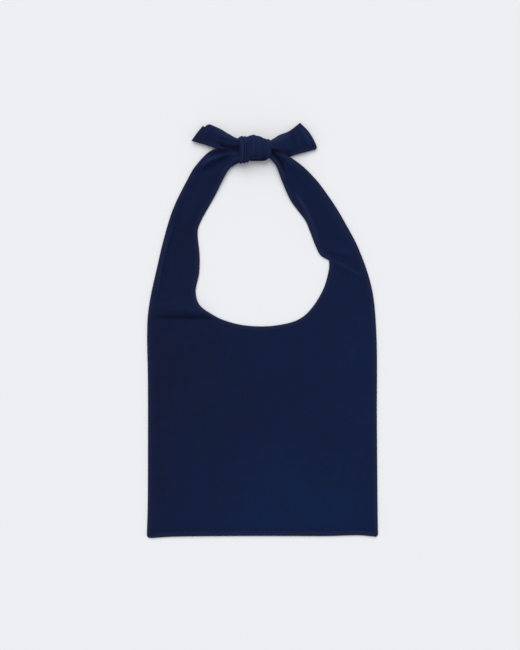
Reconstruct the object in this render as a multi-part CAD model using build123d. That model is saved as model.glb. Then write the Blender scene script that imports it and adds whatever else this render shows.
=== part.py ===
"""Cloth tie bib, lying flat on its back with its two straps knotted above the neck opening.

Millimetres. +Z is up, out of the front cloth. +Y runs from the hem to the knot and +X is to the
right. The origin is on the surface that the bib lies on, at the middle of its outline.

The real bib is a front cloth and a back cloth, each cut in one with both straps, bagged out
around an absorbent interlining and topstitched. Each cloth is divided here at the places where it
flexes: at the fold line across the strap roots, and where the two free tails leave the knot.
"""

import os
from math import cos, radians, sin

from build123d import *

# Driving dimensions
HALF_WIDTH = 120.3  # panel, from the middle to a side
HALF_LENGTH = 218.0  # from the origin to the hem, and to the tip of the longer tail
PLY = 0.6  # one layer of cloth
ALLOWANCE = 0.4  # a turned-in seam allowance, pressed flat
SHEET = 2 * (PLY + ALLOWANCE)  # the whole bib where both cloths meet
SEAM_Z = SHEET / 2  # where the front cloth meets the back cloth
ALLOWANCE_WIDTH = 7.0  # how far the turned-in allowances reach in from the edge
CORE_GAP = 0.3  # between the interlining and the allowances around it

STITCH_INSET = 5.0  # topstitching, in from the edge
TAIL_STITCH_INSET = 3.6
STITCH_WIDTH = 0.4
STITCH_DEPTH = 0.3
STITCH_PROUD = 0.1  # the needle thread stands this far out of the front cloth
SEAM_INSET = 1.0  # the hidden construction seam, in from the edge
SEAM_THREAD = 0.3

FOLD_Y = 40.0  # the neck loop folds about this line, at the top of the sheet
FOLD_GAP = 0.1  # each side of the line
THREAD_GAP = 0.5  # the same, for the part of the needle thread that stands proud
FOLD_RELIEF = 2.2  # the cloth is cut back this far under the line, so that it folds both ways

# Knot: two wraps side by side around a tunnel that the straps and tails pass through
KNOT_Y = 191.0
KNOT_LEFT, KNOT_SPLIT, KNOT_RIGHT = -25.8, -14.0, 9.3
KNOT_TALL, KNOT_HIGH, KNOT_CORNER = 28.4, 16.0, 6.0
TUNNEL_TALL, TUNNEL_LOW, TUNNEL_TOP, TUNNEL_CORNER = 22.0, 2.6, 13.4, 0.8
WRAP_EDGE = 1.4
BUNDLE_WIDE = 15.0  # a strap gathered up inside the knot
LEG_Y, LEG_LOW, LEG_TOP = 188.0, 2.8, 7.0
ROOT_Y, ROOT_LOW, ROOT_TOP = 194.0, 7.4, 11.6
CLEAR = 0.1  # between a bundle's end and what it faces inside the tunnel

# Tails: each starts at a hinge line beside the knot and droops to the surface
TAIL_TOP = 10.0
TAIL_GAP = 0.15  # each side of the hinge line
TAIL_ROOT_WIDE = 14.0
TAIL_DROOP = 8.0  # degrees
LEFT_HINGE, LEFT_HEADING = (-31.0, 196.5), 163.6
RIGHT_HINGE, RIGHT_HEADING = (14.0, 194.0), 15.1
# Outlines along and across the tail, from the hinge line
LEFT_TAIL = [(0, -7), (29.1, -12.1), (35.3, -8.3), (42.6, 10.1), (0, 7)]
RIGHT_TAIL = [(0, -7), (9.3, -14.7), (41, -14), (37.6, 3.6), (30.8, 16.5), (13.9, 10), (0, 7)]

# Where each strap stops being a flat sheet and gathers towards the knot: inner end, outer end
LEFT_CUT = ((-38.0, 165.0), (-63.2, 180.2))
RIGHT_CUT = ((17.0, 166.0), (44.6, 170.6))
CUT_OVERRUN = 14.0  # the sheet is drawn this much longer, then trimmed at the cut

BIG = 600.0
SAMPLE_SPACING = 12.0  # along a curve that is being moved inwards


def above(low, high, shape):
    """A flat face, or several, as a slab between two heights."""
    return Pos(0, 0, low) * extrude(shape, high - low, dir=(0, 0, 1))


def cloth_outline():
    """The panel and both straps in one piece, anticlockwise from above, with the straps overrunning their cuts."""
    hem_left, hem_right = (-HALF_WIDTH, -HALF_LENGTH), (HALF_WIDTH, -HALF_LENGTH)
    left_outer_end = (LEFT_CUT[1][0] + 9.5, LEFT_CUT[1][1] + CUT_OVERRUN)
    left_inner_end = (LEFT_CUT[0][0] + 7.5, LEFT_CUT[0][1] + CUT_OVERRUN)
    right_outer_end = (RIGHT_CUT[1][0] - 12.0, RIGHT_CUT[1][1] + CUT_OVERRUN)
    right_inner_end = (RIGHT_CUT[0][0] - 4.0, RIGHT_CUT[0][1] + CUT_OVERRUN)
    neck_corner = (70.6, 73.0)  # where the right strap turns out of the neckline
    left_shoulder, right_shoulder = (-HALF_WIDTH - 0.7, 0), (HALF_WIDTH - 1.2, 0)  # the ends of the straight sides
    hem = Line(hem_left, hem_right)
    right_side = Line(hem_right, right_shoulder)
    right_outer = Spline(
        right_shoulder, (115.2, 45), (101.7, 86), (77.6, 129), RIGHT_CUT[1], right_outer_end,
        tangents=[(0, 1), (-1, 1)],
    )
    right_end = Line(right_outer_end, right_inner_end)
    right_inner = Spline(right_inner_end, RIGHT_CUT[0], (30.5, 136), (47, 112), (57.5, 87), neck_corner)
    neckline = Spline(
        neck_corner, (69.5, 56), (52, 23), (24, 6.6), (-3, 3.6), (-38, 9.2), (-64.5, 23.3), (-71, 40),
        (-66.6, 70), (-68.6, 104), (-58.4, 126), LEFT_CUT[0], left_inner_end,
    )
    left_end = Line(left_inner_end, left_outer_end)
    left_outer = Spline(
        left_outer_end, LEFT_CUT[1], (-78.5, 158), (-103.6, 97.6), (-116.3, 40), left_shoulder,
        tangents=[(-1, -1), (0, -1)],
    )
    left_side = Line(left_shoulder, hem_left)
    return [hem, right_side, right_outer, right_end, right_inner, neckline, left_end, left_outer, left_side]


def inward(tangent):
    """The unit normal on the inner side of an anticlockwise outline."""
    return Vector(-tangent.Y, tangent.X, 0).normalized()


def inset_face(outline, distance):
    """The face inside an anticlockwise outline, this far in from its edges and mitred at its corners."""
    corners = []
    for before, after in zip([outline[-1]] + outline[:-1], outline):
        a, b = inward(before % 1), inward(after % 0)
        corners.append((after @ 0) + (a + b) * (distance / (1 + a.dot(b))))
    edges = []
    for curve, start, end in zip(outline, corners, corners[1:] + corners[:1]):
        if curve.geom_type == GeomType.LINE:
            edges.append(Line(start, end))
            continue
        count = round(curve.length / SAMPLE_SPACING)
        between = [(curve @ (i / count)) + inward(curve % (i / count)) * distance for i in range(1, count)]
        edges.append(Spline(start, *between, end))
    return make_face(edges)


def stitch_ring(outline, inset, width):
    """A narrow band all round the inside of an outline, its middle this far in from the edge."""
    return inset_face(outline, inset - width / 2) - inset_face(outline, inset + width / 2)


def fold_wedge(side):
    """What lies past the fold line, with the relief under it. side is 1 for the strap side and -1 for the panel side."""
    edge, deep = FOLD_Y - side * FOLD_GAP, FOLD_Y - side * (FOLD_GAP + FOLD_RELIEF)
    far = FOLD_Y + side * BIG
    high, proud = SHEET + STITCH_PROUD + 1, FOLD_Y - side * THREAD_GAP
    profile = Polyline(
        (proud, high), (proud, SHEET), (edge, SHEET), (deep, 0), (deep, -1), (far, -1), (far, high), close=True
    )
    return extrude(Plane.YZ * make_face(profile), BIG, both=True)


def beyond_cut(cut):
    """A block over everything past a strap's cut, towards the knot."""
    (x0, y0), (x1, y1) = cut
    dx, dy = x1 - x0, y1 - y0
    length = (dx * dx + dy * dy) ** 0.5
    ux, uy = dx / length, dy / length
    nx, ny = (-uy, ux) if ux > 0 else (uy, -ux)
    reach, depth = 30.0, 60.0
    corners = [
        (x0 - ux * reach, y0 - uy * reach),
        (x1 + ux * reach, y1 + uy * reach),
        (x1 + ux * reach + nx * depth, y1 + uy * reach + ny * depth),
        (x0 - ux * reach + nx * depth, y0 - uy * reach + ny * depth),
    ]
    return above(-5, 25, make_face(Polyline(*corners, close=True)))


def side_block(side):
    """Everything left (-1) or right (1) of the middle."""
    return Pos(side * BIG / 2, 0, 0) * Box(BIG, 2 * BIG, 100)


def divide(solid):
    """A slab of the whole cloth, as panel, left strap and right strap."""
    panel = solid - fold_wedge(1)
    straps = solid - fold_wedge(-1)
    straps = straps - beyond_cut(LEFT_CUT) - beyond_cut(RIGHT_CUT)
    return panel, straps & side_block(-1), straps & side_block(1)


def sewn_layers(face, stitching, seam):
    """The two plies and three threads of a sewn sheet lying on z = 0, as {layer: solid}."""
    needle = above(SHEET - STITCH_DEPTH, SHEET + STITCH_PROUD, stitching)
    bobbin = above(0, STITCH_DEPTH, stitching)
    hidden = above(SEAM_Z - SEAM_THREAD / 2, SEAM_Z + SEAM_THREAD / 2, seam)
    return {
        "front": above(SEAM_Z, SHEET, face) - needle - hidden,
        "back": above(0, SEAM_Z, face) - bobbin - hidden,
        "needle_thread": needle,
        "bobbin_thread": bobbin,
        "seam_thread": hidden,
    }


def sheet_parts(outline):
    """The plies and threads of the panel and the two straps, as {node: solid}."""
    stitching = stitch_ring(outline, STITCH_INSET, STITCH_WIDTH)
    seam = stitch_ring(outline, SEAM_INSET, SEAM_THREAD)
    parts = {}
    for layer, solid in sewn_layers(make_face(outline), stitching, seam).items():
        panel, left, right = divide(solid)
        parts[f"{layer}_panel" if layer in ("front", "back") else f"panel_{layer}"] = panel
        parts[f"left_strap_{layer}"] = left
        parts[f"right_strap_{layer}"] = right
    return parts


def add_interlining(parts, outline):
    """Hollows the panel between its allowances, and fills the hollow with the interlining."""
    past_fold = Pos(0, FOLD_Y - ALLOWANCE_WIDTH + BIG / 2) * Rectangle(2 * BIG, BIG)
    pocket = above(PLY, SHEET - PLY, inset_face(outline, ALLOWANCE_WIDTH) - past_fold)
    parts["front_panel"] = parts["front_panel"] - pocket
    parts["back_panel"] = parts["back_panel"] - pocket
    core = inset_face(outline, ALLOWANCE_WIDTH + CORE_GAP) - Pos(0, -CORE_GAP) * past_fold
    parts["absorbent_interlining"] = above(PLY, SHEET - PLY, core)


def section(corners):
    """A four-cornered flat face in space."""
    return make_face(Polyline(*corners, close=True))


def tunnel_section(x, middle, low, high):
    half = BUNDLE_WIDE / 2
    return section([(x, middle - half, low), (x, middle + half, low), (x, middle + half, high), (x, middle - half, high)])


def gathered_leg(cut, mouth_x, end_x):
    """A strap from its cut, where it is a flat sheet, up into the knot's tunnel."""
    (xi, yi), (xo, yo) = cut
    away = 0.05 if mouth_x < KNOT_SPLIT else -0.05  # clear of the sheet's cut face
    flat = section([(xi + away, yi, 0), (xo + away, yo, 0), (xo + away, yo, SHEET), (xi + away, yi, SHEET)])
    mouth = tunnel_section(mouth_x, LEG_Y, LEG_LOW, LEG_TOP)
    inside = above(LEG_LOW, LEG_TOP, Pos((mouth_x + end_x) / 2, LEG_Y) * Rectangle(abs(end_x - mouth_x), BUNDLE_WIDE))
    return loft([flat, mouth], ruled=True) + inside


def across(hinge, heading, along, sideways):
    """A point given along and across a tail, in the bib's own plane."""
    c, s = cos(radians(heading)), sin(radians(heading))
    return (hinge[0] + along * c - sideways * s, hinge[1] + along * s + sideways * c)


def tail_root(hinge, heading, mouth_x, end_x):
    """The gathered end of a tail, from inside the tunnel out to its hinge line."""
    half = TAIL_ROOT_WIDE / 2
    up = 1 if mouth_x > KNOT_SPLIT else -1  # keeps the two sections' corners in the same order
    a = across(hinge, heading, -TAIL_GAP, -up * half)
    b = across(hinge, heading, -TAIL_GAP, up * half)
    low = TAIL_TOP - SHEET
    lip = section([(*a, low), (*b, low), (*b, TAIL_TOP), (*a, TAIL_TOP)])
    mouth = tunnel_section(mouth_x, ROOT_Y, ROOT_LOW, ROOT_TOP)
    inside = above(ROOT_LOW, ROOT_TOP, Pos((mouth_x + end_x) / 2, ROOT_Y) * Rectangle(abs(end_x - mouth_x), BUNDLE_WIDE))
    return loft([lip, mouth], ruled=True) + inside


def tail_parts(side, outline, hinge, heading):
    """The plies and threads of a free tail, drooping from its hinge line, as {node: solid}."""
    outline = list(Polyline(*outline, close=True).edges())
    past_hinge = Pos(BIG / 2 + TAIL_GAP, 0) * Rectangle(BIG, BIG)
    sewn = Pos(BIG / 2 + TAIL_STITCH_INSET, 0) * Rectangle(BIG, BIG)  # the root edge isn't sewn
    stitching = stitch_ring(outline, TAIL_STITCH_INSET, STITCH_WIDTH) & sewn
    seam = stitch_ring(outline, SEAM_INSET, SEAM_THREAD) & sewn
    layers = sewn_layers(make_face(outline) & past_hinge, stitching, seam)
    place = Pos(*hinge, TAIL_TOP) * Rot(0, 0, heading) * Rot(0, TAIL_DROOP, 0) * Pos(0, 0, -SHEET)
    return {f"{side}_tail_{layer}": place * solid for layer, solid in layers.items()}


def knot_wrap(x_low, x_high):
    """One strap's turn round the knot: a rounded band around the tunnel."""
    wide = x_high - x_low
    profile = RectangleRounded(KNOT_TALL, KNOT_HIGH, KNOT_CORNER)
    band = extrude(Plane.YZ.offset(x_low) * Pos(KNOT_Y, KNOT_HIGH / 2) * profile, wide)
    rims = band.edges().filter_by_position(Axis.X, x_low, x_low) + band.edges().filter_by_position(Axis.X, x_high, x_high)
    band = fillet(rims, WRAP_EDGE)
    hole = RectangleRounded(TUNNEL_TALL, TUNNEL_TOP - TUNNEL_LOW, TUNNEL_CORNER)
    middle = (TUNNEL_TOP + TUNNEL_LOW) / 2
    return band - extrude(Plane.YZ.offset(x_low - 1) * Pos(KNOT_Y, middle) * hole, wide + 2)


def knot_parts():
    """The wraps, and the gathered legs and tail roots that pass through them, as {node: solid}."""
    left_end, right_end = KNOT_SPLIT - CLEAR, KNOT_SPLIT + CLEAR
    return {
        "knot_right_strap_wrap": knot_wrap(KNOT_LEFT, KNOT_SPLIT),
        "knot_left_strap_wrap": knot_wrap(KNOT_SPLIT, KNOT_RIGHT),
        "left_strap_gathered_end": gathered_leg(LEFT_CUT, KNOT_LEFT, left_end),
        "right_strap_gathered_end": gathered_leg(RIGHT_CUT, KNOT_RIGHT, right_end),
        "left_tail_gathered_end": tail_root(LEFT_HINGE, LEFT_HEADING, KNOT_LEFT, left_end),
        "right_tail_gathered_end": tail_root(RIGHT_HINGE, RIGHT_HEADING, KNOT_RIGHT, right_end),
    }


def main():
    outline = cloth_outline()
    parts = sheet_parts(outline)
    add_interlining(parts, outline)
    parts |= knot_parts()
    parts |= tail_parts("left", LEFT_TAIL, LEFT_HINGE, LEFT_HEADING)
    parts |= tail_parts("right", RIGHT_TAIL, RIGHT_HINGE, RIGHT_HEADING)
    os.makedirs("parts", exist_ok=True)
    for node, solid in parts.items():
        export_step(Compound(label=node, children=solid.solids()), f"parts/{node}.step")
    return parts


main()
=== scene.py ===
# A navy cotton bib, lying flat on its back with its two straps knotted above the neck opening.
# Lengths are worked out in millimetres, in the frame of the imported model, and turned into metres
# when a mesh is made. +Y runs from the hem to the knot, and +Z is up, out of the front cloth.

import math

import bpy
import numpy as np
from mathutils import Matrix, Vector, geometry, kdtree, noise


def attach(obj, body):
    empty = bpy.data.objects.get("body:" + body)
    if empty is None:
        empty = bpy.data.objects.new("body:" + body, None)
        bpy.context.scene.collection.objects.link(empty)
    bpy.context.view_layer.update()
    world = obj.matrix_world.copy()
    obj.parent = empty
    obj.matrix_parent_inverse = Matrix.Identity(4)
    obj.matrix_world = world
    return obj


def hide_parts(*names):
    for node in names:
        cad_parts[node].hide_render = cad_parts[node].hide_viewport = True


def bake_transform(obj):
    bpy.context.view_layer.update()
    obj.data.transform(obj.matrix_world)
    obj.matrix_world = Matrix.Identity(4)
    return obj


MM = 0.001

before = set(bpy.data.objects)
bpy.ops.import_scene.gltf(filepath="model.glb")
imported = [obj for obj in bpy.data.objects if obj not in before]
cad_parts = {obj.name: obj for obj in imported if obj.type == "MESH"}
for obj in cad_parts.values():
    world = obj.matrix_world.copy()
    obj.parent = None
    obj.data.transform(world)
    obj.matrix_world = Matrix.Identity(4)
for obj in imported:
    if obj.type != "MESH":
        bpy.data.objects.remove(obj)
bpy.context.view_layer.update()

# ---------------------------------------------------------------- driving sizes

FOLD_Y = 40.0  # the neck loop folds about this line

EDGE_ROLL = 0.95  # radius of the turned edge, which is half the thickness of the sewn sheet
PLY = 0.55  # one layer of cloth
SEAM_CREVICE = 0.06  # between the two cloths where they meet at the edge
ALLOWANCE_WIDTH = 7.0  # the turned-in allowances fill the edge this far in
STITCH_INSET = 5.4
TAIL_STITCH_INSET = 3.6
STITCH_PITCH = 3.1
STITCH_LENGTH = 2.5
STITCH_RADIUS = 0.24
SEAM_INSET = 1.1
SEAM_PITCH = 2.4
SEAM_LENGTH = 2.1
SEAM_RADIUS = 0.12

# How far in from the edge the rows of points run that shape the edge and the sewn line
EDGE_ROWS = (0.12, 0.35, 0.7, 1.2, 2.2, 3.4, 4.3)
SEWN_ROWS = (-0.6, 0.0, 0.6, 1.6, 3.4)  # either side of the sewn line

# The knot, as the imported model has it
COLLAR_LEFT, COLLAR_RIGHT = -26.2, 9.6  # its two mouths
STRAP_MOUTH_Y = 183.0  # where the straps go into them
LEFT_HINGE = (-31.0, 196.5)
RIGHT_HINGE = (14.0, 194.0)

# ---------------------------------------------------------------- small tools


def smoothstep(t):
    t = np.clip(t, 0, 1)
    return t * t * (3 - 2 * t)


def bell(t):
    return np.exp(-t * t)


def smooth_curve(points, spacing):
    """Points at an even spacing along a centripetal Catmull-Rom curve through the given ones."""
    p = np.array(points, float)
    if len(p) > 2:
        ext = np.vstack([2 * p[0] - p[1], p, 2 * p[-1] - p[-2]])
        dense = [p[:1]]
        for a, b, c, d in zip(ext, ext[1:], ext[2:], ext[3:]):
            t1 = np.linalg.norm(b - a) ** 0.5
            t2 = t1 + np.linalg.norm(c - b) ** 0.5
            t3 = t2 + np.linalg.norm(d - c) ** 0.5
            t = np.linspace(t1, t2, 41)[1:, None]
            ab = a + (b - a) * t / t1
            bc = b + (c - b) * (t - t1) / (t2 - t1)
            cd = c + (d - c) * (t - t2) / (t3 - t2)
            abc = ab + (bc - ab) * t / t2
            bcd = bc + (cd - bc) * (t - t1) / (t3 - t1)
            dense.append(abc + (bcd - abc) * (t - t1) / (t2 - t1))
        p = np.vstack(dense)
    lengths = np.concatenate([[0], np.cumsum(np.linalg.norm(np.diff(p, axis=0), axis=1))])
    count = max(1, round(lengths[-1] / spacing))
    stops = np.linspace(0, lengths[-1], count + 1)
    return np.stack([np.interp(stops, lengths, column) for column in p.T], axis=1)


def lumps(points, size, seed):
    """Smooth noise from about -1 to 1, whose lumps are about this many millimetres across."""
    z = 17.3 * seed
    return np.array([noise.noise(Vector((x / size, y / size, z))) for x, y in points[:, :2]]) * 1.6


def line_place(points, start, end):
    """How far points lie to the left of a line, and their place along it from 0 to 1."""
    a, b = np.array(start, float), np.array(end, float)
    along = (b - a) / np.linalg.norm(b - a)
    relative = points - a
    left = relative @ np.array([-along[1], along[0]])
    return left, relative @ along / np.linalg.norm(b - a)


FOLD_REACH = 3.2  # beyond this many half widths a fold's bell has died away
FOLD_FADE = 0.3  # of a fold's path, at each end of it


def fold(points, path, height, width, from_knot=False):
    """A ridge (or valley, with a negative height) along a smooth path, fading out at its ends."""
    line = smooth_curve(path, 0.8)
    lift = np.zeros(len(points))
    reach = FOLD_REACH * width
    above, below = points > line.min(axis=0) - reach, points < line.max(axis=0) + reach
    near = np.all(above & below, axis=1)
    tree = kdtree.KDTree(len(line))
    for i, (x, y) in enumerate(line):
        tree.insert((x, y, 0), i)
    tree.balance()
    last = len(line) - 1
    for k in np.flatnonzero(near):
        _, i, distance = tree.find((*points[k], 0))
        place = i / last
        start = 1.0 if from_knot else smoothstep(place / FOLD_FADE)
        lift[k] = height * bell(distance / width) * start * smoothstep((1 - place) / FOLD_FADE)
    return lift


def folds(points, table):
    """Several folds together."""
    return sum(fold(points, *row) for row in table)


class Outline:
    """A closed outline, anticlockwise from above, as points at an even spacing along its sides."""

    def __init__(self, sides, spacing):
        self.points = np.vstack([smooth_curve(side, spacing)[:-1] for side in sides])
        ahead = np.roll(self.points, -1, axis=0)
        steps = np.linalg.norm(ahead - self.points, axis=1)
        self.along = np.concatenate([[0], np.cumsum(steps)[:-1]])
        tangent = ahead - np.roll(self.points, 1, axis=0)
        tangent /= np.linalg.norm(tangent, axis=1)[:, None]
        self.tangent = tangent
        self.inward = np.stack([-tangent[:, 1], tangent[:, 0]], axis=1)
        self.tree = kdtree.KDTree(len(self.points))
        for i, (x, y) in enumerate(self.points):
            self.tree.insert((x, y, 0), i)
        self.tree.balance()

    def nearest(self, points):
        """The distance of each point to the outline, and the distance along it to that place."""
        depth, along = np.empty(len(points)), np.empty(len(points))
        count = len(self.points)
        for k, (x, y) in enumerate(points):
            i = self.tree.find((x, y, 0))[1]
            best = None
            for j in ((i - 1) % count, i):
                a, b = self.points[j], self.points[(j + 1) % count]
                ab = b - a
                t = min(1, max(0, ((x - a[0]) * ab[0] + (y - a[1]) * ab[1]) / (ab @ ab)))
                d = math.hypot(x - a[0] - t * ab[0], y - a[1] - t * ab[1])
                if best is None or d < best[0]:
                    best = d, self.along[j] + t * math.hypot(*ab)
            depth[k], along[k] = best
        return depth, along

    def row(self, inset):
        """The outline moved in by this much, without what would lie nearer to another side."""
        moved = self.points + self.inward * inset
        kept = self.nearest(moved)[0] > 0.96 * inset
        return moved[kept], self.tangent[kept]


def hexagonal(low, high, spacing):
    """Points in rows that are offset by half a step, over a rectangle."""
    rows = []
    for j, y in enumerate(np.arange(low[1], high[1], spacing * 0.866)):
        x = np.arange(low[0] + (j % 2) * spacing / 2, high[0], spacing)
        rows.append(np.stack([x, np.full(len(x), y)], axis=1))
    return np.vstack(rows)


def inside(outline, points):
    """Which points are inside the outline, by counting the edges that a ray to the right crosses."""
    a, b = outline.points, np.roll(outline.points, -1, axis=0)
    crossings = np.zeros(len(points), int)
    for (ax, ay), (bx, by) in zip(a, b):
        if ay == by:
            continue
        spans = (points[:, 1] >= min(ay, by)) & (points[:, 1] < max(ay, by))
        x = ax + (points[:, 1] - ay) * (bx - ax) / (by - ay)
        crossings += spans & (points[:, 0] < x)
    return crossings % 2 == 1


def make_object(name, vertices, faces, material, cloth=None, depth=None, crest=None):
    """A smooth-shaded mesh object from millimetres, with the cloth's own coordinates on it."""
    mesh = bpy.data.meshes.new(name)
    mesh.from_pydata((np.asarray(vertices) * MM).tolist(), [], faces)
    mesh.validate()
    mesh.polygons.foreach_set("use_smooth", [True] * len(mesh.polygons))
    if cloth is not None:
        attribute = mesh.attributes.new("cloth_mm", "FLOAT_VECTOR", "POINT")
        attribute.data.foreach_set("vector", np.asarray(cloth, np.float32).ravel())
    for kind, values in (("edge_mm", depth), ("crest_mm", crest)):
        if values is not None:
            attribute = mesh.attributes.new(kind, "FLOAT", "POINT")
            attribute.data.foreach_set("value", np.asarray(values, np.float32))
    mesh.materials.append(material)
    mesh.update()
    piece = bpy.data.objects.new(name, mesh)
    bpy.context.scene.collection.objects.link(piece)
    return piece


# ---------------------------------------------------------------- materials


class Nodes:
    """A material's node tree, with a short way to add and join nodes. A node's values are named for
    its properties and sockets, or i0, i1 and so on for its inputs in their order."""

    def __init__(self, name):
        self.material = bpy.data.materials.new(name)
        self.material.use_nodes = True
        self.tree = self.material.node_tree
        self.shader = self.tree.nodes["Principled BSDF"]

    def add(self, kind, **values):
        node = self.tree.nodes.new(kind)
        for key, value in values.items():
            if hasattr(node, key):
                setattr(node, key, value)
            else:
                self.set(node, key, value)
        return node

    def set(self, node, key, value):
        socket = node.inputs[int(key[1:])] if key[0] == "i" and key[1:].isdigit() else node.inputs[key]
        if isinstance(value, bpy.types.NodeSocket):
            self.tree.links.new(value, socket)
        else:
            socket.default_value = value

    def math(self, operation, a, b=None):
        node = self.add("ShaderNodeMath", operation=operation, i0=a)
        if b is not None:
            self.set(node, "i1", b)
        return node.outputs[0]

    def mix(self, amount, a, b, blend="MIX"):
        node = self.tree.nodes.new("ShaderNodeMix")
        node.data_type = "RGBA"
        node.blend_type = blend
        for index, value in ((0, amount), (6, a), (7, b)):
            if isinstance(value, bpy.types.NodeSocket):
                self.tree.links.new(value, node.inputs[index])
            else:
                node.inputs[index].default_value = value
        return node.outputs[2]

    def range(self, value, low, high, to_low, to_high):
        names = {"From Min": low, "From Max": high, "To Min": to_low, "To Max": to_high}
        node = self.add("ShaderNodeMapRange", Value=value)
        for key, number in names.items():
            self.set(node, key, number)
        return node.outputs[0]

    def scaled(self, vector, scale):
        node = self.add("ShaderNodeMapping", Vector=vector, Scale=scale)
        return node.outputs[0]

    def noise(self, vector, scale, detail=2.0):
        node = self.add("ShaderNodeTexNoise", Vector=vector, Scale=scale, Detail=detail)
        return node.outputs[0]


THREAD_PITCH = 0.52  # of the plain weave
HEM_MIDDLE = (5, -190, 0)  # where the colour is bluest and lightest


def cotton(name, dark, light, crest_wear_and_highlight, wear_and_sheen):
    """Plain-weave cotton: threads over and under each other, slubs, mottled dye, fold crests painted
    lighter, partly as wear and partly as painted highlight, and edges painted lighter, partly as
    wear and partly as painted sheen."""
    n = Nodes(name)
    cloth = n.add("ShaderNodeAttribute", attribute_name="cloth_mm").outputs["Vector"]
    edge = n.add("ShaderNodeAttribute", attribute_name="edge_mm").outputs["Fac"]
    crest = n.add("ShaderNodeAttribute", attribute_name="crest_mm").outputs["Fac"]
    parts = n.add("ShaderNodeSeparateXYZ", Vector=cloth)
    turns = 2 * math.pi / (2 * THREAD_PITCH)
    warp = n.math("ABSOLUTE", n.math("SINE", n.math("MULTIPLY", parts.outputs[0], turns)))
    weft = n.math("ABSOLUTE", n.math("SINE", n.math("MULTIPLY", parts.outputs[1], turns)))
    over = n.add("ShaderNodeTexChecker", Vector=cloth, Scale=1 / THREAD_PITCH).outputs["Fac"]
    under = n.math("SUBTRACT", 1.0, over)
    weave = n.math("ADD", n.math("MULTIPLY", warp, over), n.math("MULTIPLY", weft, under))
    slub_x = n.noise(n.scaled(cloth, (0.025, 1.3, 1)), 1.0)
    slub_y = n.noise(n.scaled(cloth, (1.3, 0.025, 1)), 1.0)
    slubs = n.math("ADD", slub_x, slub_y)
    mottle = n.noise(cloth, 0.12, 4.0)
    broad = n.noise(cloth, 0.014, 1.0)
    tone = n.math("ADD", n.math("MULTIPLY", mottle, 0.9), n.math("MULTIPLY", broad, 0.5))
    tone = n.math("ADD", tone, n.math("MULTIPLY", slubs, 0.4))
    # Bluer and lighter to the right, towards the hem and most of all at the middle of the hem
    tone = n.math("ADD", tone, n.math("MULTIPLY", parts.outputs[0], 0.0015))
    tone = n.math("ADD", tone, n.math("MULTIPLY", n.range(parts.outputs[1], -210, -60, 1, 0), 0.12))
    from_hem_middle = n.add("ShaderNodeVectorMath", operation="DISTANCE", i0=cloth, i1=HEM_MIDDLE).outputs["Value"]
    tone = n.math("ADD", tone, n.math("MULTIPLY", n.range(from_hem_middle, 0, 110, 1, 0), 0.4))
    colour = n.mix(n.range(tone, 0.75, 1.65, 0.0, 1.0), dark, light)
    # Fold crests painted lighter: partly rubbed wear, partly painted highlight where they catch the
    # light
    colour = n.mix(n.range(crest, 0.3, 2.3, 0.0, 1.0), colour, crest_wear_and_highlight)
    # Lighter towards every edge: partly worn edges, partly painted sheen where the rolled edge catches
    # the light
    rim = n.math("POWER", n.range(edge, 0.0, 7.5, 1.0, 0.0), 1.5)
    wear_and_sheen_mask = n.math("MULTIPLY", rim, n.range(mottle, 0.2, 0.7, 0.75, 1.2))
    colour = n.mix(wear_and_sheen_mask, colour, wear_and_sheen)
    shade = n.range(weave, 0.0, 0.6, 0.72, 1.0)
    grey = n.add("ShaderNodeCombineColor", Red=shade, Green=shade, Blue=shade).outputs[0]
    n.set(n.shader, "Base Color", n.mix(1.0, colour, grey, "MULTIPLY"))
    n.set(n.shader, "Roughness", n.range(mottle, 0.3, 0.7, 0.86, 0.96))
    n.shader.inputs["Specular IOR Level"].default_value = 0.08
    n.shader.inputs["Sheen Weight"].default_value = 0.03
    n.shader.inputs["Sheen Roughness"].default_value = 0.5
    n.shader.inputs["Sheen Tint"].default_value = (0.35, 0.45, 0.8, 1)
    relief = n.math("ADD", n.math("MULTIPLY", weave, 0.12), n.math("MULTIPLY", slubs, 0.05))
    relief = n.math("ADD", relief, n.math("MULTIPLY", n.noise(cloth, 0.5, 3.0), 0.16))
    bump = n.add("ShaderNodeBump", Height=relief, Strength=0.6, Distance=MM)
    n.set(n.shader, "Normal", bump.outputs[0])
    return n.material


def thread_material(name, colour):
    """Spun sewing thread: a slight gloss, with its twist as fine bands."""
    n = Nodes(name)
    place = n.add("ShaderNodeTexCoord").outputs["Object"]
    twist = n.add("ShaderNodeTexWave", Vector=place, Scale=900.0, Distortion=1.5).outputs["Fac"]
    dark = tuple(0.6 * c for c in colour[:3]) + (1,)
    n.set(n.shader, "Base Color", n.mix(twist, dark, colour))
    n.shader.inputs["Roughness"].default_value = 0.55
    n.shader.inputs["Specular IOR Level"].default_value = 0.07
    bump = n.add("ShaderNodeBump", Height=twist, Strength=0.4, Distance=0.1 * MM)
    n.set(n.shader, "Normal", bump.outputs[0])
    return n.material


def wadding_material(name):
    """Off-white brushed fibre."""
    n = Nodes(name)
    place = n.add("ShaderNodeTexCoord").outputs["Object"]
    fibres = n.noise(place, 900.0, 5.0)
    n.set(n.shader, "Base Color", n.mix(fibres, (0.62, 0.6, 0.56, 1), (0.84, 0.83, 0.8, 1)))
    n.shader.inputs["Roughness"].default_value = 0.95
    bump = n.add("ShaderNodeBump", Height=fibres, Strength=0.5, Distance=0.3 * MM)
    n.set(n.shader, "Normal", bump.outputs[0])
    return n.material


def floor_material():
    """A plain pale board with hardly any grain."""
    n = Nodes("floor")
    place = n.add("ShaderNodeTexCoord").outputs["Object"]
    soft = n.noise(place, 4.0, 2.0)
    n.set(n.shader, "Base Color", n.mix(soft, (0.81, 0.82, 0.84, 1), (0.825, 0.833, 0.852, 1)))
    n.shader.inputs["Roughness"].default_value = 0.9
    n.shader.inputs["Specular IOR Level"].default_value = 0.1
    return n.material


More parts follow.
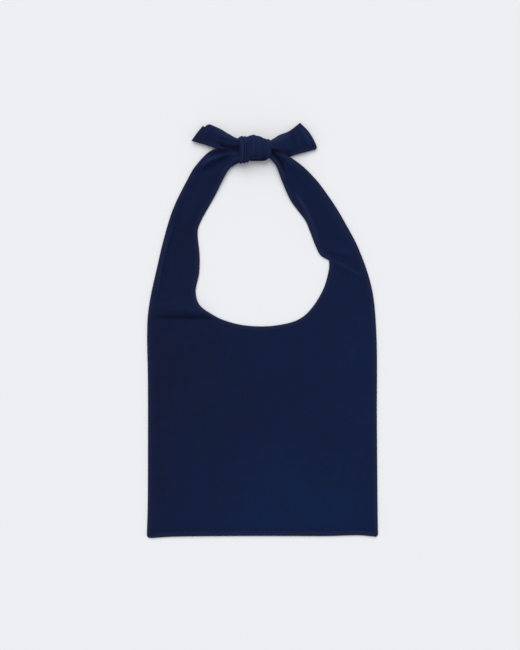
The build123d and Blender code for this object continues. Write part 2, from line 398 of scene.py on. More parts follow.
navy = cotton(
    "navy_cotton", dark=(0.0055, 0.0088, 0.0325, 1), light=(0.0045, 0.0145, 0.0587, 1),
    crest_wear_and_highlight=(0.0105, 0.0215, 0.069, 1), wear_and_sheen=(0.0135, 0.0185, 0.056, 1),
)
navy_thread = thread_material("navy_thread", (0.006, 0.0135, 0.055, 1))
wadding = wadding_material("wadding")

# ---------------------------------------------------------------- sewn sheets


def edge_profile(depth, stitch_inset, body):
    """Half the sheet's thickness at a distance from its edge: a rolled edge, a ridge over the
    allowances, a furrow where it is sewn down, and body more thickness in the middle."""
    roll = np.clip(depth / EDGE_ROLL, 0, 1)
    half = EDGE_ROLL * np.sqrt(1 - (1 - roll) ** 2)
    half = half + 0.14 * bell((depth - 0.55 * stitch_inset) / 1.4)
    half = half - 0.34 * bell((depth - stitch_inset) / 0.75)
    return half + body * smoothstep((depth - stitch_inset) / 6)


INSIDE_ONLY = 1  # the triangulation leaves out what is outside the ring
JOIN_WITHIN = 1e-5


class SewnSheet:
    """Two cloths that meet at a turned edge, as a mesh of their shared plan and height functions."""

    def __init__(self, sides, edge_spacing, grids, stitch_inset, lift, bulge, body, table):
        """grids are (spacing, which points it is for) for the middle of the sheet. lift is how far
        it stands off the floor, bulge and body are how much thicker it is where it is gathered and
        where it is lined, and table holds its folds, whose crests are painted lighter, partly as wear
        and partly as painted highlight."""
        self.lift, self.bulge, self.body, self.table = lift, bulge, body, table
        self.stitch_inset = stitch_inset
        self.outline = Outline(sides, edge_spacing)
        self.plan(grids)

    def plan(self, grids):
        """The points seen from above, and the triangles between them."""
        rows = [d for d in EDGE_ROWS if d < self.stitch_inset - 0.9]
        rows += [self.stitch_inset + d for d in SEWN_ROWS]
        points, depths = [self.outline.points], [np.zeros(len(self.outline.points))]
        for inset in rows:
            kept = self.outline.row(inset)[0]
            points.append(kept)
            depths.append(np.full(len(kept), inset))
        low, high = self.outline.points.min(axis=0), self.outline.points.max(axis=0)
        for spacing, which in grids:
            middle = hexagonal(low, high, spacing)
            middle = middle[inside(self.outline, middle) & which(middle)]
            depth = self.outline.nearest(middle)[0]
            kept = depth > rows[-1] + 0.7 * spacing
            points.append(middle[kept])
            depths.append(depth[kept])
        points, depths = np.vstack(points), np.concatenate(depths)
        count = len(self.outline.points)
        ring = [(i, (i + 1) % count) for i in range(count)]
        flat = [Vector(p) for p in points]
        out = geometry.delaunay_2d_cdt(flat, ring, [], INSIDE_ONLY, JOIN_WITHIN)
        self.points = np.array([tuple(p) for p in out[0]])
        source = [ids[0] if ids else -1 for ids in out[3]]
        self.depth = np.array([depths[i] if i >= 0 else 0.0 for i in source])
        self.on_edge = np.array([0 <= i < count for i in source])
        self.triangles = np.array([tuple(f) for f in out[2] if len(f) == 3])
        a, b, c = (self.points[self.triangles[:, i]] for i in range(3))
        turned = (b - a)[:, 0] * (c - a)[:, 1] - (b - a)[:, 1] * (c - a)[:, 0] < 0
        self.triangles[turned] = self.triangles[turned][:, ::-1]

    def heights(self, points, depth, along):
        """The middle surface, and half the thickness, at points in the plan."""
        half = edge_profile(depth, self.stitch_inset, self.body(points))
        pucker = bell((depth - 0.55 * self.stitch_inset) / (0.5 * self.stitch_inset))
        wave = 0.09 * np.sin(along / 1.05 + 2.5 * np.sin(along / 9.7)) * pucker
        half = half + wave * smoothstep(depth / 1.5)
        half = half + self.bulge(points) * smoothstep(depth / 3)
        middle = EDGE_ROLL + self.lift(points, depth, along)
        return middle, half

    def ply(self, name, side, material):
        """One of the two cloths as a closed mesh. side is 1 for the front and -1 for the back."""
        depth, along = self.depth, self.outline.nearest(self.points)[1]
        middle, half = self.heights(self.points, depth, along)
        if side < 0:
            half = np.minimum(half, middle)  # the back lies on the floor and not in it
        wide = smoothstep((depth - ALLOWANCE_WIDTH) / 2) * (self.body(self.points) > 0)
        inner = SEAM_CREVICE / 2 + np.maximum(half - PLY - SEAM_CREVICE, 0) * wide
        inner = np.minimum(inner, 0.6 * half)
        outer_z = middle + side * np.maximum(half, SEAM_CREVICE)
        inner_z = middle + side * inner
        outer_z[self.on_edge] = (middle + side * SEAM_CREVICE / 2)[self.on_edge]
        outer = np.column_stack([self.points, outer_z])
        hidden = ~self.on_edge
        index = np.arange(len(self.points))
        index[hidden] = len(self.points) + np.arange(hidden.sum())
        vertices = np.vstack([outer, np.column_stack([self.points, inner_z])[hidden]])
        front, back = self.triangles, index[self.triangles][:, ::-1]
        if side < 0:
            front, back = front[:, ::-1], back[:, ::-1]
        cloth = np.column_stack([self.points, np.zeros(len(self.points))])
        cloth = np.vstack([cloth, cloth[hidden]])
        depths = np.concatenate([depth, depth[hidden]])
        crest = folds(self.points, self.table)
        crest = np.concatenate([crest, crest[hidden]])
        faces = np.vstack([front, back]).tolist()
        return make_object(name, vertices, faces, material, cloth, depths, crest)

    def stitches(self, name, side, inset, keep, material, pitch, length, radius):
        """Separate stitches in a row round the sheet, where keep has them: on its front (1), its
        back (-1) or inside (0)."""
        points, tangents = self.outline.row(inset)
        steps = np.concatenate([[0], np.cumsum(np.linalg.norm(np.diff(points, axis=0), axis=1))])
        stops = np.arange(pitch / 2, steps[-1], pitch)
        centres = np.stack([np.interp(stops, steps, column) for column in points.T], axis=1)
        ways = np.stack([np.interp(stops, steps, column) for column in tangents.T], axis=1)
        ways /= np.linalg.norm(ways, axis=1)[:, None]
        chosen = keep(centres)
        centres, ways = centres[chosen], ways[chosen]
        ends = [centres + ways * length * k for k in (-0.5, -0.3, 0, 0.3, 0.5)]
        sunk = (-1.3, 0.0, 0.25, 0.0, -1.3)  # the ends go down into the cloth, in radii
        rows = []
        for points_at, sink in zip(ends, sunk):
            depth, along = self.outline.nearest(points_at)
            middle, half = self.heights(points_at, depth, along)
            if side < 0:
                half = np.minimum(half, middle)
            z = middle + side * (half + sink * radius)
            if side < 0:
                z = np.maximum(z, radius)
            rows.append(np.column_stack([points_at, z]))
        return threads(name, np.stack(rows, axis=1), radius, material)


def threads(name, paths, radius, material):
    """A short tube with pointed ends along each path: paths is stitches by points by 3."""
    vertices, faces = [], []
    corners = 6  # round a thread
    angles = np.arange(corners) * 2 * math.pi / corners
    for path in paths:
        way = path[-1] - path[0]
        way /= np.linalg.norm(way)
        across = np.cross((0, 0, 1), way)
        across /= np.linalg.norm(across)
        up = np.cross(way, across)
        base = len(vertices)
        vertices.append(path[0])
        for point in path[1:-1]:
            for angle in angles:
                vertices.append(point + radius * (across * math.cos(angle) + up * math.sin(angle)))
        vertices.append(path[-1])
        last = len(vertices) - 1
        loops = len(path) - 2
        for k in range(corners):
            following = (k + 1) % corners
            faces.append((base, base + 1 + following, base + 1 + k))
            for r in range(loops - 1):
                a = base + 1 + r * corners
                faces.append((a + k, a + following, a + corners + following, a + corners + k))
            a = base + 1 + (loops - 1) * corners
            faces.append((last, a + k, a + following))
    return make_object(name, vertices, faces, material)


# ---------------------------------------------------------------- the bib's outline

HEM = [
    (-121.5, -214.5), (-120.4, -217.0), (-118, -217.7), (-108, -217.2), (-96, -216.5),
    (-60, -215.9), (0, -215.6), (70, -215.7), (92, -215.0), (104, -215.0), (116, -216.2),
    (119.8, -216.3), (121.2, -214.2),
]
RIGHT_OUTER = [
    (121.2, -214.2), (120.9, -203), (120.0, -100), (119.3, 0), (114.5, 45), (100.8, 86), (90, 107),
    (77.3, 129), (68.5, 142), (58.1, 156), (43.6, 171), (31, 180.5), (17, 188.5), (3, 190.5),
]
RIGHT_END = [(3, 190.5), (3, 183)]
RIGHT_INNER = [
    (3, 183), (7.5, 180.2), (10.8, 177), (14.4, 171.8), (19.8, 158), (29.7, 136), (45, 115), (49.7, 104),
    (55.7, 88.6), (60.8, 79), (69.6, 73.5),
]
NECKLINE = [
    (69.6, 73.5), (69.8, 66), (62.3, 40.4), (41.5, 13.8), (12.3, 5.1), (-20.3, 5.6), (-42, 11.4),
    (-53, 17), (-66.2, 27), (-70.2, 40.3), (-66.6, 60), (-66, 77.5), (-68, 104.7), (-65, 114),
    (-50.2, 140.8), (-42, 157), (-36, 167.8), (-32.6, 171.2), (-26.5, 174.6), (-17, 178),
]
LEFT_END = [(-17, 178), (-17, 191.5)]
LEFT_OUTER = [
    (-17, 191.5), (-30, 193.5), (-42, 192.8), (-48.5, 190.7), (-56.3, 187.3), (-71.6, 171),
    (-79.1, 158), (-93.8, 128), (-103.3, 97.6), (-111.6, 62.5), (-117.3, 37), (-120.5, 15),
    (-121.2, -8), (-120.4, -48), (-120.3, -120), (-120.6, -186), (-121.2, -205), (-121.5, -214.5),
]
BIB_SIDES = [HEM, RIGHT_OUTER, RIGHT_END, RIGHT_INNER, NECKLINE, LEFT_END, LEFT_OUTER]


def knot_distance(points):
    """From where the nearer strap goes into the knot."""
    x = np.where(points[:, 0] < (COLLAR_LEFT + COLLAR_RIGHT) / 2, COLLAR_LEFT, COLLAR_RIGHT)
    return np.hypot(points[:, 0] - x, points[:, 1] - STRAP_MOUTH_Y)


# Each fold is its path, its height, its half width and whether it starts in the knot
BIB_FOLDS = [
    # across the root of the left strap, above the crease
    ([(-116, 21), (-98, 26), (-76, 33)], 0.35, 2.6),
    ([(-113, 30), (-96, 38), (-78, 47)], 0.3, 3.0),
    # from the right strap's inner corner out to its edge
    ([(66, 79.5), (76, 76.8), (87, 72.5), (94, 68.5), (106, 60)], -3.4, 2.3),
    ([(66, 76.5), (76, 72.8), (87, 67), (94, 63), (102, 58), (109, 52)], 1.2, 3.3),
    ([(70, 86), (84, 83), (98, 77)], 0.8, 4.0),
    ([(78, 96), (90, 86), (104, 74)], 0.4, 3.0),
    # down the straps
    ([(-112, 28), (-110, 42), (-100, 90), (-94.5, 107), (-91, 118)], 1.4, 1.9),
    ([(-108, 32), (-106, 48), (-96.5, 90), (-90.5, 107), (-87, 124), (-79, 141), (-68, 158)], -2.7, 1.7),
    ([(-92, 90), (-76, 130), (-58, 158)], 0.5, 6.0),
    ([(62, 82), (59, 92), (53.8, 107), (47, 123), (36, 141), (29, 153)], 2.7, 2.4),
    ([(67, 88), (60, 108), (52, 124), (41, 142)], -1.2, 2.3),
    ([(98, 84), (78, 118), (54, 150)], 0.7, 6.0),
    # out of the left mouth of the knot
    ([(-23, 186), (-36, 185), (-46, 184)], 1.3, 2.4, True),
    ([(-60, 182.6), (-52, 185.2), (-44, 186.9), (-32, 188.6)], -2.8, 1.8),
    ([(-38, 184), (-48, 181.8), (-56, 178.5), (-66, 169.5)], 2.3, 2.3),
    ([(-31, 184.5), (-39, 178.8), (-46, 174.2), (-58, 168.5), (-68, 163)], -3.0, 3.4),
    ([(-23, 181), (-31, 177.5), (-38, 170.5), (-46, 158)], 1.2, 2.4, True),
    ([(-58, 172), (-66, 158), (-76, 138)], -0.9, 4.0),
    # out of the right mouth
    ([(7, 187.6), (11, 185), (14.5, 181.3), (17.5, 177.5), (20.5, 171.5), (24, 163)], -3.6, 1.6, True),
    ([(12, 188), (19, 185.6), (25, 181.3), (31, 175)], -1.6, 1.5),
    ([(14, 186), (21, 181.9), (27, 177.2), (34, 168)], 1.6, 1.4),
    ([(7, 191), (20, 186), (31, 177), (41, 164)], 1.5, 2.0, True),
    ([(7, 182), (14, 177), (19.5, 167), (26, 152)], 2.6, 2.0, True),
    ([(24, 172), (33, 160), (46, 142)], -0.9, 3.5),
    # faint wrinkles in the middle of the panel, and near its sides
    ([(-2, -129), (18, -128), (44, -132)], 0.35, 2.0),
    ([(-14, -138), (4, -134), (22, -126)], 0.3, 1.8),
    ([(-34, -118), (-20, -112), (-2, -113)], 0.32, 2.2),
    ([(8, -118), (26, -121), (44, -117)], -0.3, 1.8),
    ([(-106, -12), (-103, -50), (-105, -92)], 0.35, 3.0),
    ([(62, -62), (82, -44), (104, -22)], 0.35, 4.0),
    ([(-60, -26), (-24, -44), (14, -60)], 0.28, 4.0),
    ([(20, -8), (60, 2), (96, 26)], 0.3, 5.0),
]


def root_crease(points):
    """The dart-like fold across the left strap's root: it rolls down steeply on the side of the hem."""
    left, place = line_place(points, (-121, 13.4), (-50, 12.2))
    step = 5.4 * np.tanh(np.maximum(left, 0) / 4.3) * np.exp(-np.maximum(left - 9, 0) / 12)
    dip = -0.4 * bell((left + 0.6) / 1.2)
    return (step + dip) * smoothstep((place + 0.02) / 0.44) * smoothstep((1.12 - place) / 0.3)


def bib_lift(points, depth, along):
    """How far the bib stands off the floor."""
    x, y = points.T
    near = knot_distance(points)
    loose = smoothstep((y + 60) / 150)
    middle = smoothstep(depth / 14)
    lift = 0.06 + middle * (0.45 + 0.4 * lumps(points, 80, 1) + 0.14 * lumps(points, 26, 2))
    lift += 0.3 * loose * np.maximum(lumps(points, 34, 3), 0) * bell(depth / 9)
    shaped = root_crease(points) + folds(points, BIB_FOLDS)
    lift += shaped * (0.25 + 0.75 * smoothstep(depth / 3))
    # Towards the knot the straps rise
    lift += 3.3 * smoothstep((70 - near) / 66)
    # and swell where they turn up over it and into it
    lift += 3.2 * bell(np.hypot(x + 26, y - 180) / 5) + 1.8 * bell(np.hypot(x - 12, y - 184.5) / 4)
    return np.maximum(lift, 0.02)


def bib_bulge(points):
    """The straps thicken where they are gathered."""
    return 0.9 * smoothstep((26 - knot_distance(points)) / 26)


def bib_body(points):
    """The interlining makes the panel a little thicker than the straps."""
    return 0.16 * smoothstep((FOLD_Y - 8 - points[:, 1]) / 6)


def creased(points):
    """Where the bib's surface turns sharply, so that its mesh has to be fine."""
    x, y = points.T
    return (y > 140) | ((y > 6) & (y < 50) & (x < -40)) | ((y > 48) & (y < 90) & (x > 60))


bib = SewnSheet(
    BIB_SIDES, 1.7, [(3.0, lambda points: ~creased(points)), (1.35, creased)], STITCH_INSET, bib_lift,
    bib_bulge, bib_body, BIB_FOLDS,
)


def stitched(sheet, names, inset, material, keep):
    """The topstitching of a sewn sheet, front and back, and its hidden seam."""
    shown = dict(pitch=STITCH_PITCH, length=STITCH_LENGTH, radius=STITCH_RADIUS)
    hidden = dict(pitch=SEAM_PITCH, length=SEAM_LENGTH, radius=SEAM_RADIUS)
    return [
        sheet.stitches(names[0], 1, inset, keep, material, **shown),
        sheet.stitches(names[1], -1, inset, keep, material, **shown),
        sheet.stitches(names[2], 0, SEAM_INSET, keep, material, **hidden),
    ]


def outside_knot(points):
    return (points[:, 0] < COLLAR_LEFT - 1) | (points[:, 0] > COLLAR_RIGHT + 1) | (points[:, 1] < 170)


def slab(name, points, triangles, low, high, material):
    """A closed mesh between two heights over some triangles of a plan."""
    used = np.unique(triangles)
    index = np.full(len(points), -1)
    index[used] = np.arange(len(used))
    top = index[triangles]
    bottom = top[:, ::-1] + len(used)
    edges = {}  # in the order they are met, so that the mesh is the same each time
    for a, b, c in top:
        for edge in ((a, b), (b, c), (c, a)):
            edges[edge] = True
    rim = [edge for edge in edges if edge[::-1] not in edges]
    walls = [(b, a, a + len(used), b + len(used)) for a, b in rim]
    flat = points[used]
    vertices = np.vstack([np.column_stack([flat, high[used]]), np.column_stack([flat, low[used]])])
    faces = top.tolist() + bottom.tolist() + [tuple(int(i) for i in wall) for wall in walls]
    return make_object(name, vertices, faces, material)


INTERLINING_INSET = 8.0
INTERLINING_HALF = 0.42  # of its thickness
INTERLINING_TOP = 30.0  # it stops below the line where the neck loop folds


def add_interlining():
    """The absorbent layer between the panel's two cloths."""
    chosen = (bib.depth > INTERLINING_INSET) & (bib.points[:, 1] < INTERLINING_TOP)
    triangles = bib.triangles[chosen[bib.triangles].all(axis=1)]
    middle = bib.heights(bib.points, bib.depth, bib.outline.nearest(bib.points)[1])[0]
    high = middle + INTERLINING_HALF
    low = np.maximum(middle - INTERLINING_HALF, np.minimum(PLY + SEAM_CREVICE, middle - 0.2))
    return slab("absorbent_interlining_pad", bib.points, triangles, low, high, wadding)


bib_front = bib.ply("bib_front_cloth", 1, navy)
bib_back = bib.ply("bib_back_cloth", -1, navy)
bib_threads = stitched(
    bib, ("bib_needle_stitches", "bib_bobbin_stitches", "bib_seam_stitches"), STITCH_INSET, navy_thread,
    outside_knot,
)
interlining = add_interlining()

# ---------------------------------------------------------------- tails

LEFT_TAIL_SIDES = [
    [(-17, 200.2), (-26.5, 201.2), (-36.5, 206.5), (-43.2, 210.7), (-55.2, 216.2)],
    [(-55.2, 216.2), (-58.2, 215.4), (-60.6, 213.4)],
    [(-60.6, 213.4), (-62.8, 214.4)],
    [(-62.8, 214.4), (-68.8, 207.0), (-74.7, 198.7)],
    [(-74.7, 198.7), (-60, 194.4), (-48.5, 190.9), (-30, 188.8), (-17, 189.2)],
    [(-17, 189.2), (-17, 200.2)],
]
RIGHT_TAIL_SIDES = [
    [(3, 189.4), (10.5, 189.2), (18.6, 187.2), (27.2, 182.2)],
    [(27.2, 182.2), (40, 185.6), (55.6, 189.7)],
    [(55.6, 189.7), (56.9, 191.6), (54.2, 199.0), (48, 208.9), (39.4, 217.8)],
    [(39.4, 217.8), (26.7, 208.4), (17.8, 204.9), (8.2, 199.0), (3, 198)],
    [(3, 198), (3, 189.4)],
]


def everywhere(points):
    return np.full(len(points), True)


def no_body(points):
    """A tail has no interlining."""
    return np.zeros(len(points))


class Tail:
    """A free tail: where its hinge line is, which nothing uses, which way it points, and how it droops
    and folds.
    """

    def __init__(self, side, sides, hinge, heading, mouth, tip_lift, table, seed):
        self.side, self.hinge, self.table, self.seed = side, np.array(hinge), table, seed
        angle = math.radians(heading)
        self.way = np.array([math.cos(angle), math.sin(angle)])
        self.across = np.array([-self.way[1], self.way[0]])
        self.mouth, self.tip_lift = np.array(mouth), tip_lift
        self.sheet = SewnSheet(
            sides, 0.9, [(1.2, everywhere)], TAIL_STITCH_INSET, self.lift, self.bulge, no_body, table,
        )

    def place(self, points):
        relative = points - self.mouth
        return relative @ self.way, relative @ self.across

    def lift(self, points, depth, along):
        """It comes down from the knot to its tip, and is arched across."""
        out, over = self.place(points)
        fall = smoothstep((out + 4) / 48)
        lift = 7.2 * (1 - fall) + self.tip_lift * fall
        half_wide = 5.5 + 7.5 * smoothstep(out / 36)
        lift += (3.0 - 1.8 * smoothstep(out / 34)) * (1 - (over / half_wide) ** 2)
        lift += 0.4 * lumps(points, 16, self.seed) * smoothstep(out / 12)
        lift += folds(points, self.table)
        return np.maximum(lift, 0.3)

    def bulge(self, points):
        return 1.0 * smoothstep((14 - self.place(points)[0]) / 14)

    def build(self):
        names = [f"{self.side}_tail_{kind}_stitches" for kind in ("needle", "bobbin", "seam")]
        cloths = [
            self.sheet.ply(f"{self.side}_tail_front_cloth", 1, navy),
            self.sheet.ply(f"{self.side}_tail_back_cloth", -1, navy),
        ]
        return cloths, stitched(self.sheet, names, TAIL_STITCH_INSET, navy_thread, outside_knot)

    def bend(self, piece):
        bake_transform(piece)


left_tail = Tail(
    "left", LEFT_TAIL_SIDES, LEFT_HINGE, heading=163.6, mouth=(-27, 195), tip_lift=2.4, seed=11,
    table=[
        ([(-23, 190.8), (-31, 190.2), (-38, 191.4), (-48, 197)], -4.6, 1.8, True),
        ([(-23, 199), (-38, 203.4), (-52, 210)], 1.2, 2.2, True),
        ([(-23, 195.6), (-38, 198.4), (-50, 203)], -1.0, 1.8, True),
        ([(-56, 213), (-61, 205), (-63, 197)], 0.9, 2.2),
        ([(-24, 197), (-42, 201), (-62, 206)], 0.6, 7.0, True),
        ([(-47, 207), (-52, 202), (-54, 196)], -0.4, 2.6),
    ],
)
right_tail = Tail(
    "right", RIGHT_TAIL_SIDES, RIGHT_HINGE, heading=15.1, mouth=(10, 193.5), tip_lift=2.0, seed=12,
    table=[
        ([(6, 191), (22, 190), (36, 191)], 0.8, 2.2, True),
        ([(7, 193), (28, 197), (48, 203)], 0.9, 8.0, True),
        ([(6, 196.5), (19, 200.5), (31, 207.5)], 2.2, 2.8, True),
        ([(30, 208), (32.5, 200), (34.5, 193)], -1.5, 2.2),
        ([(39, 215), (43.5, 208), (48, 199), (51.5, 190.5)], 2.3, 3.0),
    ],
)
tails = {tail: tail.build() for tail in (left_tail, right_tail)}

# ---------------------------------------------------------------- knot


def interpolate(x, stops):
    """A smooth function through (x, value) pairs."""
    curve = smooth_curve(stops, 0.2)
    return np.interp(x, curve[:, 0], curve[:, 1])


def rounded_section(angle, half_wide, low, high, squareness):
    """A point on a rounded, slightly square loop, as an offset across and a height."""
    c, s = np.cos(angle), np.sin(angle)
    middle = 0.46 * low + 0.54 * high
    y = half_wide * np.sign(c) * np.abs(c) ** (2 / squareness)
    tall = np.where(s > 0, high - middle, middle - low)
    z = middle + tall * np.sign(s) * np.abs(s) ** (2 / squareness)
    return y, z


def closed_grid(name, grid, material, cloth, depth, crest):
    """A mesh on a grid of points that joins up with itself both ways."""
    rows, columns = grid.shape[:2]
    faces = []
    for i in range(rows):
        for j in range(columns):
            a, b = i * columns + j, i * columns + (j + 1) % columns
            c, d = ((i + 1) % rows) * columns + (j + 1) % columns, ((i + 1) % rows) * columns + j
            faces.append((a, d, c, b))
    grid, cloth = grid.reshape(-1, 3), cloth.reshape(-1, 3)
    return make_object(name, grid, faces, material, cloth, depth.ravel(), crest.ravel())


LIP = 1.6  # radius of a wrap's turned-in edges
FLOOR_GAP = 0.35  # from a wrap's underside to the floor, before it flattens on it
WRAP_ROUND = 132  # points round a wrap
WRAP_ACROSS = 72  # and across it
WRAP_CLOTH = (60, -150)  # the place in the cloth whose weave and colour it has, picked where the colour is lighter and bluer, as a painted highlight on the knot
WRAP_CREST_LIGHTEN = 3.5  # its pleat crests are painted lighter, partly as wear and partly as painted highlight, as folds are that are this many times as high
WRAP_WEAR_AND_SHEEN = 2.2  # it is painted lighter, partly as worn and partly as painted sheen, as cloth is that is this far from a sewn edge, or 2 mm more in its middle


class Wrap:
    """A turn of gathered strap round the knot: a pleated band with thick turned-in edges.

    Its lowest and highest y and its top are smooth functions of x. A rim is its x, how deep its
    edge is drawn in and how wide. A pleat is its x, its height, its half width, and how far and in
    what phase it sways as it goes round. A dent is its x and turn, its depth, and its reach both
    ways. Turns are from +Y upwards, in radians."""

    def __init__(self, name, left, right, low_y, high_y, top, lean, rims, pleats, dents=()):
        self.name, self.left, self.right = name, left, right
        self.low_y, self.high_y, self.top = low_y, high_y, top
        self.lean, self.rims, self.pleats, self.dents = lean, rims, pleats, dents

    def profile(self):
        """Across the band: x, and how deep under its outer surface, for a closed loop."""
        outer = self.left + LIP + (self.right - self.left - 2 * LIP) * np.linspace(0, 1, WRAP_ACROSS)
        turn = np.linspace(0, math.pi, 9)[1:-1]
        right_lip = np.stack([self.right - LIP + LIP * np.sin(turn), LIP - LIP * np.cos(turn)], axis=1)
        left_lip = np.stack([self.left + LIP - LIP * np.sin(turn), LIP + LIP * np.cos(turn)], axis=1)
        inner = outer[::-4]
        outer_side = np.stack([outer, np.zeros(len(outer))], axis=1)
        inner_side = np.stack([inner, np.full(len(inner), 2 * LIP)], axis=1)
        return np.vstack([outer_side, right_lip, inner_side, left_lip])

    def relief(self, x, phi):
        """How far the surface is sunk (or raised, below 0) by its rims, pleats and dents."""
        sunk = sum(depth * bell((x - edge) / reach) for edge, depth, reach in self.rims)
        for place, height, width, sway, phase in self.pleats:
            middle = place + sway * np.sin(phi + phase) + 0.25 * np.sin(3 * phi + 2 * phase)
            sunk = sunk - height * bell((x - middle) / width) * (1 + 0.25 * np.sin(2 * phi + 3 * phase))
        for (place, turn), depth, (wide, long) in self.dents:
            sunk = sunk + depth * bell((x - place) / wide) * bell((phi - turn) / long)
        flat = np.stack([x.ravel(), 6 * phi.ravel()], axis=1)
        return sunk - 0.25 * lumps(flat, 7, 31).reshape(x.shape)

    def build(self):
        loop = self.profile()
        angle = np.arange(WRAP_ROUND) * 2 * math.pi / WRAP_ROUND
        x, phi = np.meshgrid(loop[:, 0], angle, indexing="ij")
        inset = np.broadcast_to(loop[:, 1][:, None], x.shape)
        outward = np.clip(1 - inset / LIP, 0, 1)
        rim = np.minimum(x - self.left, self.right - x)
        sunk = self.relief(x, phi) * outward
        inset = inset + sunk
        y_low, y_high = interpolate(x, self.low_y), interpolate(x, self.high_y)
        half_wide = (y_high - y_low) / 2 - inset
        y, z = rounded_section(phi, half_wide, FLOOR_GAP + inset, interpolate(x, self.top) - inset, 2.5)
        place = (x - self.left) / (self.right - self.left)
        shift = self.lean(phi) * (1 - place if self.left < -20 else place)
        over = z - FLOOR_GAP / 4
        z = FLOOR_GAP / 4 + 0.5 * (over + np.hypot(over, FLOOR_GAP))  # flattens softly on the floor
        grid = np.stack([x + shift, (y_high + y_low) / 2 + y, z], axis=2)
        cloth = np.stack([x + WRAP_CLOTH[0], phi * 11 + WRAP_CLOTH[1], 0 * x], axis=2)
        # Painted lighter along its pleat crests, partly as wear and partly as painted highlight, and a
        # painted highlight where it turns over on the side of the tails, which faces the light
        crest = WRAP_CREST_LIGHTEN * np.maximum(-sunk, 0) + 1.3 * bell((phi - 0.7) / 0.45)
        # Painted lighter at its rims and over its ridges and darker down its pleats: partly wear, partly
        # painted sheen and painted shade
        depth = np.minimum(rim, 2) + 1.5 * inset + WRAP_WEAR_AND_SHEEN
        return closed_grid(self.name, grid, navy, cloth, depth, crest)


def left_lean(phi):
    """The left mouth is drawn in at its middle, seen from the front."""
    return 2.6 * bell((phi - 1.7) / 0.75)


def right_lean(phi):
    """The right mouth slopes back towards its top corner."""
    return -2.2 * bell((phi - 0.3) / 0.7)


wide_wrap = Wrap(
    "knot_wide_wrap", -15.8, COLLAR_RIGHT,
    low_y=[(-16, 177.4), (-12, 178.6), (-4, 179.8), (10, 181.2)],
    high_y=[(-16, 202.8), (-12, 204.2), (-7, 204.2), (-1, 202.4), (5, 200.1), (10, 197.4)],
    top=[(-16, 14.8), (-10, 15.9), (-3, 16.2), (5, 15.3), (10, 14.0)],
    lean=right_lean,
    rims=[(-15.8, 0.5, 1.2), (9.6, 0.9, 1.3)],
    pleats=[
        (-12.2, -0.35, 0.8, 0.3, 0.3), (-9.7, 0.5, 1.1, 0.4, 1.1), (-6.5, -0.25, 1.0, 0.5, 2.0),
        (-2.8, 0.3, 2.2, 0.9, 0.7), (1.4, -0.3, 1.2, 0.8, 2.8), (3.9, -0.45, 0.8, 0.3, 0.2),
        (6.5, 0.75, 1.4, 0.3, 0.4),
    ],
    dents=[
        ((3.0, 4.9), 0.9, (2.6, 0.35)), ((-6, 4.6), 0.7, (3.2, 0.3)), ((0.5, 0.9), 0.5, (3.0, 0.3)),
    ],
).build()
narrow_wrap = Wrap(
    "knot_narrow_wrap", COLLAR_LEFT, -13.8,
    low_y=[(-27, 176.3), (-24, 175.1), (-19, 175.0), (-14, 176.8)],
    high_y=[(-27, 201.0), (-24, 202.8), (-18, 203.2), (-14, 202.2)],
    top=[(-27, 13.0), (-22, 14.8), (-14, 15.1)],
    lean=left_lean,
    rims=[(-26.2, 0.8, 1.4)],
    pleats=[
        (-22.3, 0.5, 0.9, 0.3, 0.9), (-20.3, -0.6, 0.42, 0.25, 1.4), (-18.8, 0.55, 0.6, 0.25, 1.6),
        (-17.2, -0.6, 0.42, 0.25, 1.9), (-15.4, 0.5, 0.8, 0.2, 2.3),
    ],
).build()


CORE_ROUND, CORE_LONG = 72, 40  # points round the core and along it


def add_core():
    """The folds of both straps inside the knot, which show in its two mouths."""
    t = np.linspace(-1, 1, CORE_LONG)
    around = np.arange(CORE_ROUND) * 2 * math.pi / CORE_ROUND
    x, phi = np.meshgrid(-8.4 + 16.4 * t, around, indexing="ij")
    end = np.sqrt(np.clip(1 - np.abs(t) ** 6, 0, 1))[:, None]
    ruffles = 1 - 0.1 * np.cos(5 * phi + 0.4 * np.sin(x / 5)) - 0.06 * np.cos(9 * phi + x / 9)
    size = (0.25 + 0.75 * end) * ruffles
    y, z = rounded_section(phi, 10.6 * size, 7.8 - 5.2 * size, 7.8 + 5.2 * size, 2.2)
    grid = np.stack([x, 189.5 + y, z], axis=2)
    rows, columns = grid.shape[:2]
    vertices = grid.reshape(-1, 3)
    faces = []
    for i in range(rows - 1):
        for j in range(columns):
            a, b = i * columns + j, i * columns + (j + 1) % columns
            faces.append((a, b, b + columns, a + columns))
    faces.append(tuple(range(columns))[::-1])
    faces.append(tuple(range((rows - 1) * columns, rows * columns)))
    cloth = np.stack([x, phi * 8, 0 * x], axis=2).reshape(-1, 3)
    return make_object("knot_inner_folds", vertices, faces, navy, cloth, np.full(len(vertices), 9.0))


core = add_core()

# ---------------------------------------------------------------- floor, light and camera


FLOOR_HALF_SIDE = 8.0


def add_floor():
    mesh = bpy.data.meshes.new("floor")
    a = FLOOR_HALF_SIDE
    mesh.from_pydata([(-a, -a, 0), (a, -a, 0), (a, a, 0), (-a, a, 0)], [], [(0, 1, 2, 3)])
    mesh.materials.append(floor_material())
    floor = bpy.data.objects.new("floor", mesh)
    bpy.context.scene.collection.objects.link(floor)


def add_sun(name, strength, softness, azimuth, elevation):
    """A broad, far lamp. Azimuth is measured from +Y towards +X."""
    lamp = bpy.data.lights.new(name, "SUN")
    lamp.energy = strength
    lamp.angle = math.radians(softness)
    light = bpy.data.objects.new(name, lamp)
    turn, rise = math.radians(azimuth), math.radians(elevation)
    towards = Vector((math.sin(turn) * math.cos(rise), math.cos(turn) * math.cos(rise), math.sin(rise)))
    light.rotation_euler = towards.to_track_quat("Z", "Y").to_euler()
    bpy.context.scene.collection.objects.link(light)


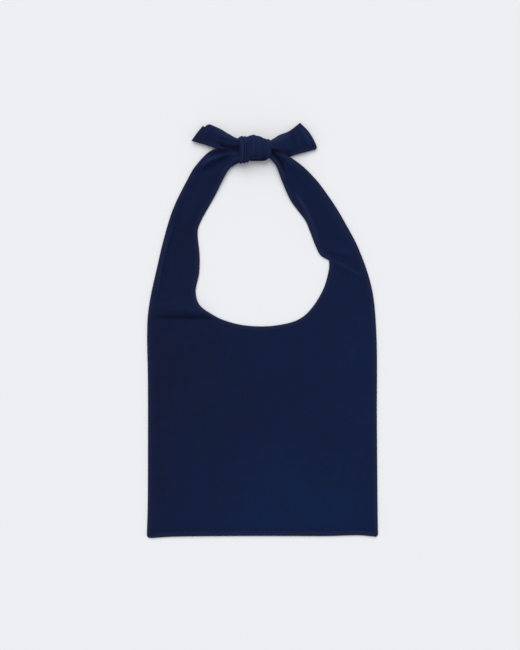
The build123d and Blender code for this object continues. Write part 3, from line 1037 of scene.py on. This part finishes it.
def add_world(colour, strength):
    world = bpy.data.worlds.new("studio")
    world.use_nodes = True
    background = world.node_tree.nodes["Background"]
    background.inputs["Color"].default_value = colour
    background.inputs["Strength"].default_value = strength
    bpy.context.scene.world = world


CAMERA_HEIGHT = 2.4
VIEW_TALL = 0.6825  # of the floor, from the bottom of the view to its top
VIEW_CENTRE = (-0.0027, 0.0057)
SENSOR = 36.0


def add_camera():
    data = bpy.data.cameras.new("camera")
    data.sensor_width = SENSOR
    data.lens = SENSOR * CAMERA_HEIGHT / VIEW_TALL
    camera = bpy.data.objects.new("camera", data)
    camera.location = (*VIEW_CENTRE, CAMERA_HEIGHT)
    bpy.context.scene.collection.objects.link(camera)
    bpy.context.scene.camera = camera


add_floor()
add_sun("key", strength=2.02, softness=58, azimuth=-6, elevation=52)
add_world(colour=(0.985, 0.992, 1.0, 1), strength=0.54)
add_camera()
bpy.context.scene.view_settings.view_transform = "Standard"

# ---------------------------------------------------------------- what rides on what


def join_frame():
    """The interlining rides on the panel and the knot's pieces on the neck loop; the bib's and tails'
    pieces stay where they are made. Each piece stands for its CAD nodes, which are hidden.
    """
    strap_nodes = {}
    for part in ("front", "back", "needle_thread", "bobbin_thread", "seam_thread"):
        strap_nodes[part] = [f"left_strap_{part}", f"right_strap_{part}"]
    needle, bobbin, seam = bib_threads
    stands_for = {
        bib_front: ["front_panel", *strap_nodes["front"]],
        bib_back: ["back_panel", *strap_nodes["back"]],
        needle: ["panel_needle_thread", *strap_nodes["needle_thread"]],
        bobbin: ["panel_bobbin_thread", *strap_nodes["bobbin_thread"]],
        seam: ["panel_seam_thread", *strap_nodes["seam_thread"]],
    }
    for piece, nodes in stands_for.items():
        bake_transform(piece)
        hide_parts(*nodes)
    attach(interlining, "panel")
    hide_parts("absorbent_interlining")
    ends = ("left_strap", "left_tail", "right_strap", "right_tail")
    for piece, nodes in (
        (wide_wrap, ["knot_left_strap_wrap"]),
        (narrow_wrap, ["knot_right_strap_wrap"]),
        (core, [f"{end}_gathered_end" for end in ends]),
    ):
        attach(piece, "neck_loop")
        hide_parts(*nodes)
    for tail, (cloths, stitching) in tails.items():
        parts = ("front", "back", "needle_thread", "bobbin_thread", "seam_thread")
        for piece, part in zip([*cloths, *stitching], parts):
            tail.bend(piece)
            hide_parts(f"{tail.side}_tail_{part}")


join_frame()
